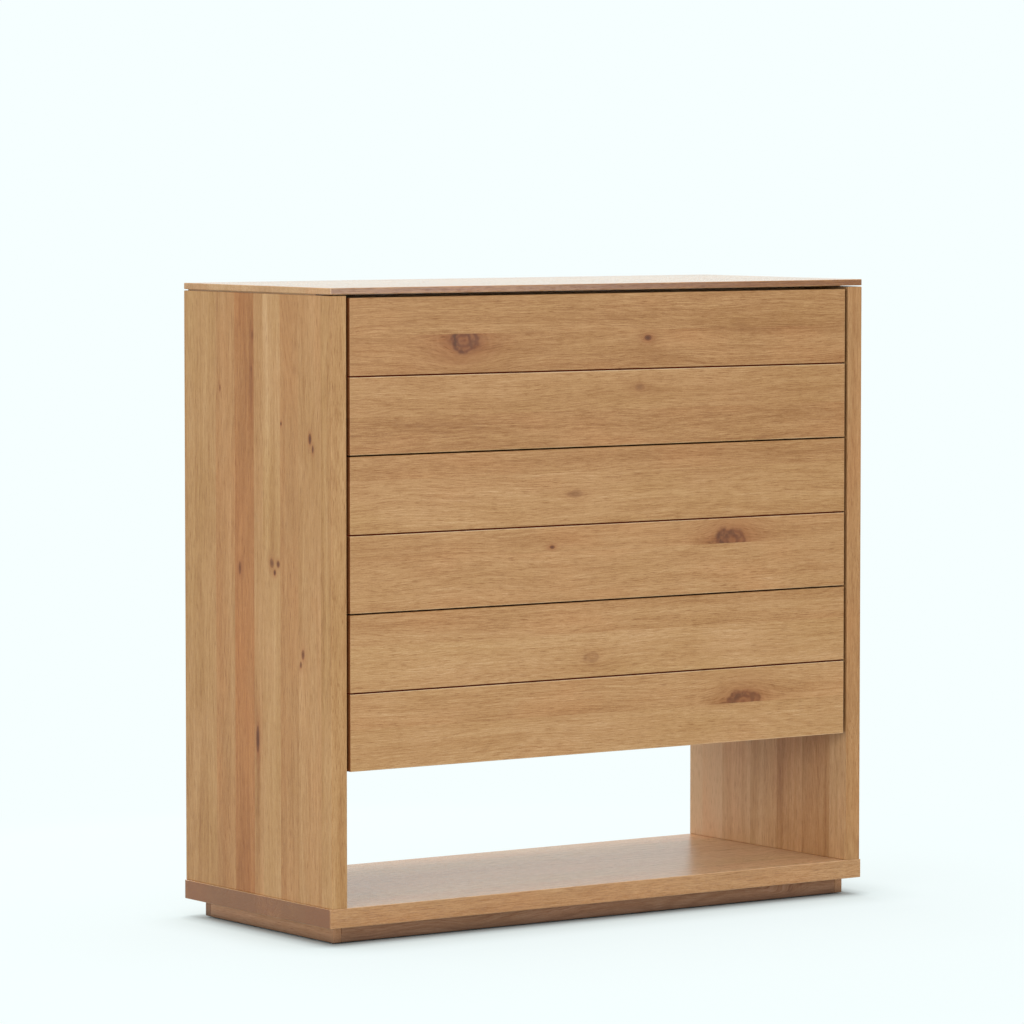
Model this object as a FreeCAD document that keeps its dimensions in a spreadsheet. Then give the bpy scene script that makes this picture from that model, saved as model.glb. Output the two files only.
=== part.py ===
"""Tall chest of drawers in knotty oak: three push-to-open drawers over an open niche, on a recessed plinth.

Frame: millimetres, +Z up, the drawers open towards -Y, and +X is to the right of someone facing them.
The origin is on the floor, in the middle of the footprint.
Every master of a drawer piece is drawn for a drawer whose front starts at z = 0, then placed at three levels.
"""

import FreeCAD, Part

import os
import re
from types import SimpleNamespace

import Sketcher
from FreeCAD import Placement, Rotation, Vector

# ---------------------------------------------------------------------------------------------------------
# Driving dimensions, in millimetres
# ---------------------------------------------------------------------------------------------------------

DRIVING = {
    # the whole
    "overall_width": 1040.0,
    "overall_height": 1010.0,
    "depth": 425.0,
    "edge_ease": 0.8,
    # carcass
    "carcass_width": 1035.0,
    "side_thick": 28.0,
    "top_thick": 12.0,
    "shadow_high": 2.0,
    "shadow_deep": 5.0,
    "shadow_front_deep": 50.0,
    "base_thick": 30.0,
    "floor_thick": 18.0,
    "floor_inset": 2.5,
    "rail_thick": 18.0,
    "rail_set_back": 90.0,
    "front_rail_deep": 70.0,
    "rear_rail_high": 80.0,
    "back_thick": 6.0,
    "back_inset": 8.0,
    "back_housing": 8.0,
    "back_slack": 0.5,
    "slip": 0.1,
    # plinth
    "plinth_high": 28.0,
    "glide_rise": 2.0,
    "plinth_thick": 15.0,
    "plinth_in_front": 24.0,
    "plinth_in_side": 20.0,
    "plinth_in_back": 30.0,
    "block_long": 60.0,
    "block_deep": 40.0,
    "glide_high": 6.0,
    "glide_radius": 12.5,
    "glide_offset": 12.0,
    "glide_round": 2.0,
    "nail_radius": 1.5,
    "nail_long": 12.0,
    "nail_point": 1.0,
    # drawer fronts
    "front_high": 240.5,
    "front_thick": 20.0,
    "front_gap": 2.5,
    "top_gap": 5.5,
    "side_reveal": 6.5,
    "groove_wide": 2.5,
    "groove_deep": 8.0,
    "press_room": 4.0,
    # drawer boxes
    "box_lift": 28.0,
    "box_high": 180.0,
    "box_long": 360.0,
    "box_thick": 15.0,
    "bottom_thick": 6.0,
    "bottom_lift": 10.0,
    "bottom_housing": 7.0,
    "bottom_play": 0.3,
    # runners, in section: measured from the side panel towards the drawer
    "runner_space": 13.0,
    "runner_long": 350.0,
    "runner_set_back": 5.0,
    "runner_lift": 78.0,
    "runner_sheet": 1.2,
    "outer_half": 22.5,
    "outer_deep": 9.5,
    "middle_half": 18.3,
    "middle_near": 3.6,
    "middle_far": 11.0,
    "inner_half": 14.1,
    "inner_near": 6.0,
    "inner_far": 13.0,
    "lip": 0.9,
    "cage_long": 140.0,
    "cage_wide": 3.2,
    "cage_sheet": 0.6,
    "cage_shift": 0.2,
    "ball_radius": 1.45,
    "ball_count": 6.0,
    # push latches
    "latch_wide": 12.5,
    "latch_high": 22.0,
    "latch_long": 60.0,
    "latch_lift": 153.0,
    "latch_set_back": 7.5,
    "plunger_radius": 2.2,
    "plunger_from_wall": 9.3,
    "plunger_long": 44.0,
    "plunger_out": 4.2,
    "plunger_press": 3.0,
    "plunger_slip": 0.08,
    "bore_spare": 1.0,
    # fasteners
    "dowel_radius": 4.0,
    "dowel_long": 30.0,
    "dowel_in_thin": 8.0,
    "dowel_in_wide": 14.0,
    "dowel_spacing": 150.0,
    "screw_radius": 2.0,
    "head_radius": 3.8,
    "head_high": 1.8,
    "head_crown_share": 0.7,
    "head_rim_share": 0.4,
    "screw_point": 3.0,
    "pilot_slip": 0.05,
    "short_screw": 16.0,
    "box_screw": 12.0,
    "front_screw": 28.0,
    "rail_screw": 25.0,
    "block_screw": 38.0,
    "block_screw_offset": 18.0,
    "insert_radius": 4.5,
    "insert_bore": 2.5,
    "insert_long": 13.0,
    "insert_spacing": 600.0,
    "socket_spare": 1.0,
    "rail_screw_spacing": 280.0,
    "back_screw_spacing": 220.0,
    "front_screw_spacing": 380.0,
    "front_screw_low": 45.0,
    "front_screw_high": 150.0,
}

LEVELS = ("lower", "middle", "upper")
RUNNER_SCREW_SHARES = (0.1, 0.5, 0.9)

doc = FreeCAD.newDocument("TallChestOfDrawers")
sheet = doc.addObject("Spreadsheet::Sheet", "Dims")


def fill_sheet():
    """Writes the driving dimensions into the spreadsheet, one alias a row."""
    for row, (alias, value) in enumerate(DRIVING.items(), start=1):
        sheet.set(f"A{row}", alias)
        sheet.set(f"B{row}", str(value))
        sheet.setAlias(f"B{row}", alias)
    doc.recompute()


fill_sheet()
D = SimpleNamespace(**{alias: float(sheet.get(alias)) for alias in DRIVING})

# ---------------------------------------------------------------------------------------------------------
# Shared expressions, as text over the sheet's aliases
# ---------------------------------------------------------------------------------------------------------

BASE_TOP = "(plinth_high + base_thick)"
CARCASS_TOP = "(overall_height - top_thick)"
INNER_WIDE = "(carcass_width - 2 * side_thick)"
BACK_FACE = "(depth / 2 - back_inset - back_thick)"
FRONT_BACK = "(front_thick - depth / 2)"
FLOOR_FRONT = f"({FRONT_BACK} + press_room)"
RAIL_FRONT = f"({FRONT_BACK} + rail_set_back)"
BOX_WIDE = f"({INNER_WIDE} - 2 * runner_space)"
BOX_INSIDE = f"({BOX_WIDE} - 2 * box_thick)"
FIRST_FRONT = "(overall_height - top_thick + shadow_high - top_gap - 3 * front_high - 2 * front_gap)"
FLOOR_Z = f"({FIRST_FRONT} + floor_inset)"
RUNNER_FRONT = f"({FRONT_BACK} + runner_set_back)"
BOTTOM_Z = "(box_lift + bottom_lift)"

# The same places as numbers, for the pieces that are copied along lists of positions
base_top = D.plinth_high + D.base_thick
carcass_top = D.overall_height - D.top_thick
inner_half = D.carcass_width / 2 - D.side_thick
side_middle = D.carcass_width / 2 - D.side_thick / 2
back_face = D.depth / 2 - D.back_inset - D.back_thick
front_back = D.front_thick - D.depth / 2
rail_front = front_back + D.rail_set_back
first_front = carcass_top + D.shadow_high - D.top_gap - 3 * D.front_high - 2 * D.front_gap
floor_z = first_front + D.floor_inset
runner_front = front_back + D.runner_set_back
level_z = [first_front + number * (D.front_high + D.front_gap) for number in range(len(LEVELS))]
runner_screw_y = [runner_front + share * D.runner_long for share in RUNNER_SCREW_SHARES]


def formula(text):
    """An expression over aliases as FreeCAD wants it, with the sheet's name before each alias."""
    return re.sub(r"[a-z_]+", lambda found: "Dims." + found.group(), text)


def bind(thing, **sizes):
    """Binds each named property to an expression over the sheet."""
    for name, text in sizes.items():
        thing.setExpression(name, formula(text))
    return thing


def place(thing, x="0", y="0", z="0"):
    """Binds where a thing stands."""
    for axis, text in (("x", x), ("y", y), ("z", z)):
        thing.setExpression("Placement.Base." + axis, formula(text))
    return thing


# ---------------------------------------------------------------------------------------------------------
# Builders
# ---------------------------------------------------------------------------------------------------------


def new_body(label):
    """An empty PartDesign body under that label."""
    made = doc.addObject("PartDesign::Body", label)
    made.Label = label
    return made


def origin_feature(body, role):
    """The body's own origin plane or axis of that role."""
    return next(feature for feature in body.Origin.OriginFeatures if feature.Role == role)


def outline(body, name, role, corners, offset="0"):
    """A closed sketch of straight lines on an origin plane; each corner is a pair of expressions."""
    sketch = body.newObject("Sketcher::SketchObject", name)
    sketch.AttachmentSupport = (origin_feature(body, role), [""])
    sketch.MapMode = "FlatFace"
    sketch.setExpression("AttachmentOffset.Base.z", formula(offset))
    count = len(corners)
    # Any distinct points will do here: the constraints below move them to the corners
    ring = [Vector(i, (i * i) % 7, 0) for i in range(count)]
    for i in range(count):
        sketch.addGeometry(Part.LineSegment(ring[i], ring[(i + 1) % count]), False)
    for i in range(count):
        sketch.addConstraint(Sketcher.Constraint("Coincident", i, 2, (i + 1) % count, 1))
    for i, pair in enumerate(corners):
        for way, text in zip(("DistanceX", "DistanceY"), pair):
            number = sketch.addConstraint(Sketcher.Constraint(way, -1, 1, i, 1, 1.0))
            sketch.setExpression(f"Constraints[{number}]", formula(text))
    return sketch


def rectangle(body, name, role, x0, y0, x1, y1, offset="0"):
    """A rectangular sketch between two opposite corners."""
    return outline(body, name, role, [(x0, y0), (x1, y0), (x1, y1), (x0, y1)], offset)


def pad(body, sketch, length, reverse=False):
    """The sketch pushed out along its normal, or against it."""
    made = body.newObject("PartDesign::Pad", sketch.Name + "Pad")
    made.Profile = sketch
    made.Reversed = reverse
    return bind(made, Length=length)


def turned(label, corners):
    """A body of revolution about its own Z axis, from corners given as (radius, height)."""
    body = new_body(label)
    sketch = outline(body, label + "Profile", "XZ_Plane", corners)
    spin = body.newObject("PartDesign::Revolution", label + "Turned")
    spin.Profile = sketch
    spin.ReferenceAxis = (sketch, ["V_Axis"])
    spin.Angle = 360.0
    return body


def ease_edges(body, feature):
    """A small chamfer along every edge that the body has so far."""
    doc.recompute()
    eased = body.newObject("PartDesign::Chamfer", body.Name + "Eased")
    eased.Base = (feature, [""])
    eased.UseAllEdges = True
    bind(eased, Size="edge_ease")


def board(label, long, deep, high, ease=True):
    """A board with one corner at its body's origin and, where it shows, eased edges."""
    body = new_body(label)
    sketch = rectangle(body, label + "Outline", "XY_Plane", "0", "0", long, deep)
    blank = pad(body, sketch, high)
    if ease:
        ease_edges(body, blank)
    return body


def block(label, long, deep, high, x, y, z):
    """A plain box, for a tool or a hidden piece."""
    made = doc.addObject("Part::Box", label)
    made.Label = label
    bind(made, Length=long, Width=deep, Height=high)
    return place(made, x, y, z)


def fused(label, pieces):
    """Several shapes as one solid, or as one tool."""
    made = doc.addObject("Part::MultiFuse", label)
    made.Label = label
    made.Shapes = pieces
    return made


def cut(label, base, *tools):
    """Base less its tools, under the label that names the piece."""
    made = doc.addObject("Part::Cut", label)
    made.Label = label
    made.Base = base
    made.Tool = tools[0] if len(tools) == 1 else fused(label + "Tools", list(tools))
    return made


def group(label, pieces):
    """Separate solids under one label."""
    made = doc.addObject("Part::Compound", label)
    made.Label = label
    made.Links = pieces
    return made


def mirrored(label, source):
    """The same piece on the other side of the chest."""
    made = doc.addObject("Part::Mirroring", label)
    made.Label = label
    made.Source = source
    made.Base = Vector(0, 0, 0)
    made.Normal = Vector(1, 0, 0)
    return made


def on_levels(name, master):
    """One master piece placed at each drawer's level, as lower_NAME, middle_NAME and upper_NAME."""
    for number, level in enumerate(LEVELS):
        made = group(f"{level}_{name}", [master])
        place(made, z=f"{FIRST_FRONT} + {number} * (front_high + front_gap)")
        pieces.append(made)


def copies(label, source, spots):
    """A source shape repeated at each (point, direction): its own +Z turns to the direction."""
    made = doc.addObject("Part::Feature", label)
    made.Label = label
    doc.recompute()
    shapes = []
    for point, direction in spots:
        shape = source.Shape.copy()
        shape.Placement = Placement(point, Rotation(Vector(0, 0, 1), direction)).multiply(shape.Placement)
        shapes.append(shape)
    made.Shape = Part.makeCompound(shapes)
    return made


def drillings(label, radius, length, spots):
    """Round holes as one tool: each starts at its point and runs against its direction."""
    made = doc.addObject("Part::Feature", label)
    made.Label = label
    made.Shape = Part.makeCompound(
        [Part.makeCylinder(radius, length, point, direction * -1) for point, direction in spots]
    )
    return made


pieces = []


def keep(piece):
    """Adds a finished piece to those that are written out."""
    pieces.append(piece)


# ---------------------------------------------------------------------------------------------------------
# Where the fasteners go: (point, direction that the head or the free end faces)
# ---------------------------------------------------------------------------------------------------------

X, Y, Z = Vector(1, 0, 0), Vector(0, 1, 0), Vector(0, 0, 1)
SIDES = (-1, 1)
ROW_Y = (-D.dowel_spacing, 0.0, D.dowel_spacing)
QUARTERS = (0.25, 0.75)
dowel_in_side = D.dowel_long - D.dowel_in_wide


def centred(count, spacing):
    """Evenly spaced places along a line, centred on zero."""
    return [(number - (count - 1) / 2) * spacing for number in range(count)]


side_to_base = [
    (Vector(s * side_middle, y, base_top + dowel_in_side), Z) for s in SIDES for y in ROW_Y
]
side_to_top = [
    (Vector(s * side_middle, y, carcass_top + D.dowel_in_thin), Z) for s in SIDES for y in ROW_Y
]
across_from = inner_half + D.dowel_in_wide
floor_to_side = [
    (Vector(s * across_from, y, floor_z + D.floor_thick / 2), X * s) for s in SIDES for y in ROW_Y
]
front_rail_to_side = [
    (Vector(s * across_from, rail_front + share * D.front_rail_deep, carcass_top - D.rail_thick / 2), X * s)
    for s in SIDES
    for share in QUARTERS
]
rear_rail_to_side = [
    (
        Vector(s * across_from, D.depth / 2 - D.rail_thick / 2, carcass_top - share * D.rear_rail_high),
        X * s,
    )
    for s in SIDES
    for share in QUARTERS
]
ACROSS_DOWELS = floor_to_side + front_rail_to_side + rear_rail_to_side
ALL_DOWELS = side_to_base + side_to_top + ACROSS_DOWELS

top_rail_spots = [
    (Vector(x, rail_front + D.front_rail_deep / 2, carcass_top - D.rail_thick), Z * -1)
    for x in centred(4, D.rail_screw_spacing)
]
back_panel_spots = [
    (Vector(x, back_face + D.back_thick, floor_z + D.floor_thick / 2), Y)
    for x in centred(5, D.back_screw_spacing)
]
insert_spots = [
    (Vector(s * D.insert_spacing / 2, D.depth / 2, carcass_top - D.rear_rail_high / 2), Y) for s in SIDES
]
outer_web_spots = [
    (Vector(s * (inner_half - D.runner_sheet), y, z + D.runner_lift), X * -s)
    for z in level_z
    for s in SIDES
    for y in runner_screw_y
]
inner_web_spots = [
    (Vector(s * (inner_half - D.inner_far + D.runner_sheet), y, D.runner_lift), X * s)
    for s in SIDES
    for y in runner_screw_y
]
front_spots = [
    (Vector(x, front_back + D.box_thick, D.box_lift + z), Y)
    for x in centred(3, D.front_screw_spacing)
    for z in (D.front_screw_low, D.front_screw_high)
]

# ---------------------------------------------------------------------------------------------------------
# Fastener masters
# ---------------------------------------------------------------------------------------------------------


def screw(length):
    """A pan-head wood screw as long as the alias says: the head stands on z = 0, the shank runs down."""
    return turned(
        length + "_master",
        [
            ("0", "head_high"),
            ("head_radius * head_crown_share", "head_high"),
            ("head_radius", "head_high * head_rim_share"),
            ("head_radius", "0"),
            ("screw_radius", "0"),
            ("screw_radius", f"screw_point - {length}"),
            ("0", f"0 - {length}"),
        ],
    )


dowel = turned(
    "dowel_master",
    [
        ("0", "0"),
        ("dowel_radius - edge_ease", "0"),
        ("dowel_radius", "0 - edge_ease"),
        ("dowel_radius", "edge_ease - dowel_long"),
        ("dowel_radius - edge_ease", "0 - dowel_long"),
        ("0", "0 - dowel_long"),
    ],
)
rail_screw = screw("rail_screw")
block_screw = screw("block_screw")
short_screw = screw("short_screw")
box_screw = screw("box_screw")
front_screw = screw("front_screw")


def pilots(label, length, spots):
    """Clearance holes for screws."""
    return drillings(label, D.screw_radius + D.pilot_slip, length, spots)


def dowel_holes(label, spots):
    """Holes a little longer than the dowel at both ends."""
    ends = [(point + direction * D.slip, direction) for point, direction in spots]
    return drillings(label, D.dowel_radius + D.pilot_slip, D.dowel_long + 2 * D.slip, ends)


# ---------------------------------------------------------------------------------------------------------
# Carcass
# ---------------------------------------------------------------------------------------------------------


def build_top_panel():
    """Overlay top: a slab whose underside steps in, which leaves a shadow line over the carcass.

    At the front it steps in deeper, so the gap over the upper drawer is open behind."""
    body = new_body("top_panel_blank")
    slab = rectangle(
        body,
        "TopSlab",
        "XY_Plane",
        "0 - carcass_width / 2",
        "0 - depth / 2",
        "carcass_width / 2",
        "depth / 2",
    )
    ease_edges(body, pad(body, slab, "top_thick - shadow_high"))
    core = rectangle(
        body,
        "TopCore",
        "XY_Plane",
        "shadow_deep - carcass_width / 2",
        "shadow_front_deep - depth / 2",
        "carcass_width / 2 - shadow_deep",
        "depth / 2 - shadow_deep",
    )
    pad(body, core, "shadow_high", reverse=True)
    place(body, z=f"{CARCASS_TOP} + shadow_high")
    keep(
        cut(
            "top_panel",
            body,
            dowel_holes("TopPanelDowelHoles", side_to_top),
            pilots("TopPanelPilots", D.rail_screw, top_rail_spots),
        )
    )


def build_side_panels():
    """The two gables, grooved at the back for the back panel."""
    side_holes = dowel_holes("SideDowelHoles", ALL_DOWELS)
    side_pilots = pilots("SideRunnerPilots", D.short_screw, outer_web_spots)
    for label, start, groove_start in (
        ("left_side_panel", "0 - carcass_width / 2", f"0 - {INNER_WIDE} / 2 - back_housing"),
        ("right_side_panel", "carcass_width / 2 - side_thick", f"{INNER_WIDE} / 2 - slip"),
    ):
        blank = board(label + "_blank", "side_thick", "depth", f"{CARCASS_TOP} - {BASE_TOP}")
        place(blank, start, "0 - depth / 2", BASE_TOP)
        groove = block(
            label + "_groove",
            "back_housing + slip",
            "back_thick + 2 * slip",
            f"{CARCASS_TOP} - rear_rail_high + back_housing - {FLOOR_Z} + slip",
            groove_start,
            f"{BACK_FACE} - slip",
            f"{FLOOR_Z} - slip",
        )
        keep(cut(label, blank, groove, side_holes, side_pilots))


def build_carcass_floor():
    """The board under the lowest drawer, which is the ceiling of the niche."""
    blank = board(
        "carcass_floor_blank", INNER_WIDE, f"{BACK_FACE} - slip - {FLOOR_FRONT}", "floor_thick", ease=False
    )
    place(blank, f"0 - {INNER_WIDE} / 2", FLOOR_FRONT, FLOOR_Z)
    holes = dowel_holes("FloorDowelHoles", floor_to_side)
    keep(cut("carcass_floor", blank, holes, pilots("FloorPilots", D.short_screw, back_panel_spots)))


def build_top_rails():
    """A flat front rail that the top is screwed to, and an upright rear rail for the wall anchors."""
    front = board("front_top_rail_blank", INNER_WIDE, "front_rail_deep", "rail_thick", ease=False)
    place(front, f"0 - {INNER_WIDE} / 2", RAIL_FRONT, f"{CARCASS_TOP} - rail_thick")
    keep(
        cut(
            "front_top_rail",
            front,
            dowel_holes("FrontRailDowelHoles", front_rail_to_side),
            pilots("FrontRailHoles", D.rail_screw, top_rail_spots),
        )
    )
    rear = board("rear_top_rail_blank", INNER_WIDE, "rail_thick", "rear_rail_high")
    place(rear, f"0 - {INNER_WIDE} / 2", "depth / 2 - rail_thick", f"{CARCASS_TOP} - rear_rail_high")
    groove = block(
        "rear_top_rail_groove",
        INNER_WIDE,
        "back_thick + 2 * slip",
        "back_housing",
        f"0 - {INNER_WIDE} / 2",
        f"{BACK_FACE} - slip",
        f"{CARCASS_TOP} - rear_rail_high",
    )
    socket_long = D.insert_long + D.socket_spare
    sockets = drillings("InsertSockets", D.insert_radius + D.pilot_slip, socket_long, insert_spots)
    keep(cut("rear_top_rail", rear, groove, sockets, dowel_holes("RearRailDowelHoles", rear_rail_to_side)))


def build_back_panel():
    """Thin veneered sheet, held in the grooves and screwed to the carcass floor. The niche has no back."""
    blank = board(
        "back_panel_blank",
        f"{INNER_WIDE} + 2 * (back_housing - back_slack)",
        "back_thick",
        f"{CARCASS_TOP} - rear_rail_high + back_housing - back_slack - {FLOOR_Z}",
        ease=False,
    )
    place(blank, f"back_slack - {INNER_WIDE} / 2 - back_housing", BACK_FACE, FLOOR_Z)
    keep(cut("back_panel", blank, pilots("BackPanelHoles", D.short_screw, back_panel_spots)))


def build_base_panel():
    """The thick slab that is the niche's shelf; it stands a little proud of both sides."""
    blank = board("base_panel_blank", "overall_width", "depth", "base_thick")
    place(blank, "0 - overall_width / 2", "0 - depth / 2", "plinth_high")
    holes = dowel_holes("BaseDowelHoles", side_to_base)
    keep(cut("base_panel", blank, holes, pilots("BasePilots", D.block_screw, block_screw_spots)))


# ---------------------------------------------------------------------------------------------------------
# Plinth
# ---------------------------------------------------------------------------------------------------------

PLINTH_HALF = "(overall_width / 2 - plinth_in_side)"
PLINTH_FRONT = "(plinth_in_front - depth / 2)"
PLINTH_BACK = "(depth / 2 - plinth_in_back)"
BOARD_HIGH = "plinth_high - glide_rise"
plinth_inside = D.overall_width / 2 - D.plinth_in_side - D.plinth_thick
block_x = plinth_inside - D.block_long / 2
block_front_y = D.plinth_in_front - D.depth / 2 + D.plinth_thick + D.block_deep / 2
block_back_y = D.depth / 2 - D.plinth_in_back - D.plinth_thick - D.block_deep / 2
# Each block: its middle, and which way along X its glide stands from there
BLOCKS = [(x, y, -1 if x < 0 else 1) for x in centred(3, block_x) for y in (block_front_y, block_back_y)]
glide_spots = [(Vector(x + way * D.glide_offset, y, 0), Z) for x, y, way in BLOCKS]
block_screw_spots = [
    (Vector(x - way * D.block_screw_offset, y, D.glide_high), Z * -1) for x, y, way in BLOCKS
]


def build_plinth():
    """The front board stands between the side boards, and the back board covers their rear ends."""
    side_long = f"{PLINTH_BACK} - {PLINTH_FRONT} - plinth_thick"
    for label, long, deep, x, y in (
        ("plinth_left", "plinth_thick", side_long, f"0 - {PLINTH_HALF}", PLINTH_FRONT),
        ("plinth_right", "plinth_thick", side_long, f"{PLINTH_HALF} - plinth_thick", PLINTH_FRONT),
        (
            "plinth_front",
            f"2 * ({PLINTH_HALF} - plinth_thick)",
            "plinth_thick",
            f"plinth_thick - {PLINTH_HALF}",
            PLINTH_FRONT,
        ),
        (
            "plinth_back",
            f"2 * {PLINTH_HALF}",
            "plinth_thick",
            f"0 - {PLINTH_HALF}",
            f"{PLINTH_BACK} - plinth_thick",
        ),
    ):
        keep(place(board(label, long, deep, BOARD_HIGH), x, y, "glide_rise"))
    master = block(
        "plinth_block_master",
        "block_long",
        "block_deep",
        "plinth_high - glide_high",
        "0 - block_long / 2",
        "0 - block_deep / 2",
        "glide_high",
    )
    spots = [(Vector(x, y, 0), Z) for x, y, _ in BLOCKS]
    blocks = copies("PlinthBlockBlanks", master, spots)
    nails = [(point + Z * (D.glide_high + D.nail_long), Z) for point, _ in glide_spots]
    keep(
        cut(
            "plinth_blocks",
            blocks,
            pilots("BlockPilots", D.block_screw, block_screw_spots),
            drillings("NailHoles", D.nail_radius + D.pilot_slip, D.nail_long + D.slip, nails),
        )
    )
    keep(copies("plinth_screws", block_screw, block_screw_spots))


def build_floor_glides():
    """Nail-on glides, the only parts that touch the floor."""
    glide = turned(
        "glide_master",
        [
            ("0", "0"),
            ("glide_radius - glide_round", "0"),
            ("glide_radius", "glide_round"),
            ("glide_radius", "glide_high"),
            ("nail_radius", "glide_high"),
            ("nail_radius", "glide_high + nail_long - nail_point"),
            ("0", "glide_high + nail_long - slip"),
        ],
    )
    keep(copies("floor_glides", glide, glide_spots))


# ---------------------------------------------------------------------------------------------------------
# Fasteners of the carcass
# ---------------------------------------------------------------------------------------------------------


def build_carcass_fasteners():
    """Dowels, screws and the sleeves that take wall anchors."""
    keep(copies("dowels", dowel, ALL_DOWELS))
    keep(copies("top_rail_screws", rail_screw, top_rail_spots))
    keep(copies("carcass_short_screws", short_screw, back_panel_spots + outer_web_spots))
    insert = turned(
        "insert_master",
        [
            ("insert_bore", "0"),
            ("insert_radius", "0"),
            ("insert_radius", "0 - insert_long"),
            ("insert_bore", "0 - insert_long"),
        ],
    )
    keep(copies("wall_anchor_inserts", insert, insert_spots))


# ---------------------------------------------------------------------------------------------------------
# Runners: three nested channels with rows of balls between their flanges
# ---------------------------------------------------------------------------------------------------------

WALL = f"0 - {INNER_WIDE} / 2"


def channel(label, near, far, half, web_at_near, lip_out):
    """A bent-sheet channel of the left-hand runner, drawn from the side panel inwards and padded to the back.

    The web is at the near or the far edge, and each flange ends in a lip that turns out or in."""
    web, tip, way = (near, far, "1") if web_at_near else (far, near, "-1")
    web_inside = f"({web} + {way} * runner_sheet)"
    lip_root = f"({tip} - {way} * runner_sheet)"
    flange_inside = f"({half} - runner_sheet)"
    if lip_out:
        lip_end = f"({half} + lip)"
        flange = [(lip_root, half), (lip_root, lip_end), (tip, lip_end), (tip, flange_inside)]
    else:
        lip_end = f"({flange_inside} - lip)"
        flange = [(tip, half), (tip, lip_end), (lip_root, lip_end), (lip_root, flange_inside)]
    upper = [(web, half)] + flange + [(web_inside, flange_inside)]
    corners = upper + [(x, f"0 - {z}") for x, z in reversed(upper)]
    section = [(f"{x} - {INNER_WIDE} / 2", f"{z} + runner_lift") for x, z in corners]
    body = new_body(label)
    sketch = outline(body, label + "Section", "XZ_Plane", section, f"0 - {RUNNER_FRONT}")
    pad(body, sketch, "runner_long", reverse=True)
    return body


def pair(label, left):
    """A left-hand piece and its mirror image."""
    return group(label, [left, mirrored(label + "_right", left)])


def web_holes(label, wall_face):
    """The fixing holes through one channel's web, on the left-hand side."""
    spots = [(Vector(-wall_face, y, D.runner_lift), X) for y in runner_screw_y]
    return drillings(label, D.screw_radius + D.pilot_slip, 3 * D.runner_sheet, spots)


def build_runners():
    """Three telescoping pairs a drawer: fixed to the cabinet, in between, and fixed to the drawer."""
    outer = channel("outer_blank", "0", "outer_deep", "outer_half", True, False)
    outer_face = inner_half - 2 * D.runner_sheet
    outer_cut = cut("outer_left", outer, web_holes("OuterWebHoles", outer_face))
    on_levels("cabinet_rails", pair("outer_pair", outer_cut))

    middle = channel("middle_left", "middle_near", "middle_far", "middle_half", True, True)
    on_levels("intermediate_rails", pair("middle_pair", middle))

    inner = channel("inner_blank", "inner_near", "inner_far", "inner_half", False, True)
    inner_face = inner_half - D.inner_far - D.runner_sheet
    inner_cut = cut("inner_left", inner, web_holes("InnerWebHoles", inner_face))
    on_levels("drawer_rails", pair("inner_pair", inner_cut))


def cage_master():
    """A strip of steel along +Y from the origin, with a row of balls through it."""
    cage = new_body("cage_master")
    edges = ("0 - cage_wide / 2", "0", "cage_wide / 2", "cage_long")
    strip = rectangle(cage, "CageStrip", "XY_Plane", *edges, offset="0 - cage_sheet / 2")
    pad(cage, strip, "cage_sheet")
    ball = cage.newObject("PartDesign::AdditiveSphere", "CageBall")
    bind(ball, Radius="ball_radius")
    ball.AttachmentSupport = (origin_feature(cage, "XY_Plane"), [""])
    ball.MapMode = "FlatFace"
    ball.setExpression("AttachmentOffset.Base.y", formula("cage_long / ball_count / 2"))
    doc.recompute()
    row = cage.newObject("PartDesign::LinearPattern", "CageBalls")
    row.Originals = [ball]
    row.Direction = (origin_feature(cage, "Y_Axis"), [""])
    bind(row, Length="cage_long * (1 - 1 / ball_count)")
    row.Occurrences = int(D.ball_count)
    cage.Tip = row
    return cage


def build_ball_cages():
    """Four outer and four inner cages a drawer, each halfway between the two members that it runs between."""
    cage = cage_master()
    cage_front = runner_front + (D.runner_long - D.cage_long) / 2
    outer_z = (D.outer_half - D.runner_sheet + D.middle_half) / 2
    inner_z = (D.middle_half - D.runner_sheet + D.inner_half) / 2
    outer_from_wall = (D.middle_near + D.outer_deep) / 2 - D.cage_shift
    inner_from_wall = (D.inner_near + D.middle_far) / 2 + D.cage_shift
    for name, from_wall, up in (("outer", outer_from_wall, outer_z), ("inner", inner_from_wall, inner_z)):
        spots = [
            (Vector(s * (inner_half - from_wall), cage_front, D.runner_lift + way * up), Z)
            for s in SIDES
            for way in SIDES
        ]
        on_levels(f"{name}_ball_cages", copies(f"{name}_cage_set", cage, spots))


# ---------------------------------------------------------------------------------------------------------
# Push latches: a housing on each side panel, and a sprung plunger behind each end of the drawer front
# ---------------------------------------------------------------------------------------------------------


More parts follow.
